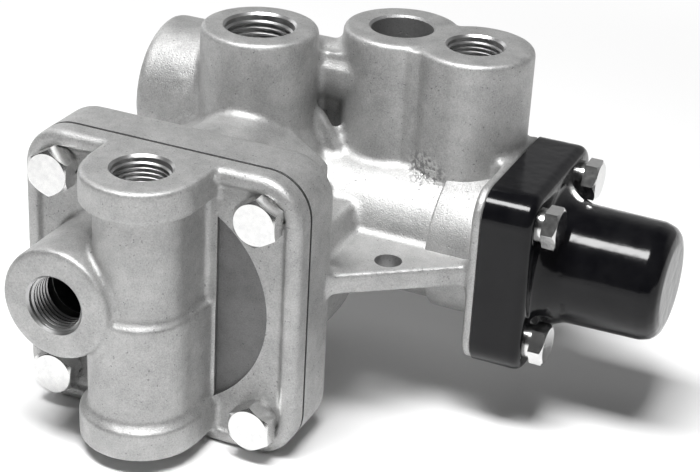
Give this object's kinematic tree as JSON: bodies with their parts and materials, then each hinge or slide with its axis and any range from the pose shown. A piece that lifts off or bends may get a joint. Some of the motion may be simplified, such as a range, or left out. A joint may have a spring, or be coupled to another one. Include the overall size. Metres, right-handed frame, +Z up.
{
  "type": "spring brake valve",
  "caption": "Pneumatic spring brake valve: cast body, square bolted front cover with two ports, upright port bosses and a black spring cap on its right",
  "frame": {"origin": "centre of the exhaust mouth at the rear end of the relay axis, in the plane of the mouth", "axes": "+Z up through the upright port bosses, +Y backwards along the relay axis out of the exhaust mouth, +X right along the control axis through the black cap"},
  "size_m": [0.1775, 0.1302, 0.1079],
  "materials": {
    "cast_aluminium": "fine blasted casting",
    "turned_aluminium": "turned",
    "zinc_steel": "bright zinc plate",
    "spring_steel": "drawn wire and spring plate",
    "brass": "turned",
    "black_rubber": "moulded",
    "gasket": "cut sheet",
    "gloss_black": "gloss"
  },
  "bodies": {
    "housing": {"valve_body": "cast_aluminium", "front_cover": "cast_aluminium", "valve_guide": "turned_aluminium", "exhaust_cover": "turned_aluminium", "control_valve_seat": "turned_aluminium", "protection_plug": "turned_aluminium", "check_plug": "turned_aluminium", "cover_bolts": "zinc_steel", "cover_lock_washers": "zinc_steel", "cap_bolts": "zinc_steel", "cap_lock_washers": "zinc_steel", "flap_screw": "zinc_steel", "spring_seat": "zinc_steel", "relay_spring": "spring_steel", "relay_valve_spring": "spring_steel", "control_spring": "spring_steel", "control_valve_spring": "spring_steel", "protection_spring": "spring_steel", "check_spring": "spring_steel", "exhaust_retaining_ring": "spring_steel", "protection_retaining_ring": "spring_steel", "guide_o_ring": "black_rubber", "exhaust_flap": "black_rubber", "protection_plug_o_ring": "black_rubber", "check_plug_o_ring": "black_rubber", "cover_gasket": "gasket", "cap_gasket": "gasket", "spring_cap": "gloss_black"},
    "relay_piston_group": {"relay_piston": "turned_aluminium", "relay_piston_o_ring": "black_rubber"},
    "relay_valve_group": {"relay_valve": "brass", "relay_valve_face": "black_rubber"},
    "control_piston_group": {"control_piston": "turned_aluminium", "control_piston_o_ring": "black_rubber", "control_stem_o_ring": "black_rubber"},
    "control_valve_group": {"control_valve": "brass"},
    "protection_piston_group": {"protection_piston": "turned_aluminium", "protection_piston_o_ring": "black_rubber"},
    "check_valve_group": {"check_valve": "brass", "check_valve_seal": "black_rubber"}
  },
  "joints": [
    {"name": "relay_piston_slide", "type": "slide", "parent": "housing", "child": "relay_piston_group", "axis": [0, 1, 0], "range_m": [0, 0.004], "stiffness_N_per_m": 1000, "springref_m": -0.004, "deforming": ["relay_spring"]},
    {"name": "relay_valve_slide", "type": "slide", "parent": "housing", "child": "relay_valve_group", "axis": [0, 1, 0], "range_m": [0, 0.00255], "stiffness_N_per_m": 500, "springref_m": -0.002, "deforming": ["relay_valve_spring"]},
    {"name": "control_piston_slide", "type": "slide", "parent": "housing", "child": "control_piston_group", "axis": [1, 0, 0], "range_m": [0, 0.005], "stiffness_N_per_m": 3000, "springref_m": -0.01, "deforming": ["control_spring"]},
    {"name": "control_valve_slide", "type": "slide", "parent": "housing", "child": "control_valve_group", "axis": [-1, 0, 0], "range_m": [0, 0.0015], "stiffness_N_per_m": 300, "springref_m": -0.002, "deforming": ["control_valve_spring"]},
    {"name": "protection_piston_slide", "type": "slide", "parent": "housing", "child": "protection_piston_group", "axis": [0, 0, -1], "range_m": [0, 0.006], "stiffness_N_per_m": 800, "springref_m": -0.005, "deforming": ["protection_spring"]},
    {"name": "check_valve_slide", "type": "slide", "parent": "housing", "child": "check_valve_group", "axis": [1, 0, 0], "range_m": [0, 0.004], "stiffness_N_per_m": 300, "springref_m": -0.002, "deforming": ["check_spring"]}
  ],
  "couplings": [
    {"joint": "relay_valve_slide", "follows": "relay_piston_slide", "ratio": 0.6375}
  ]
}
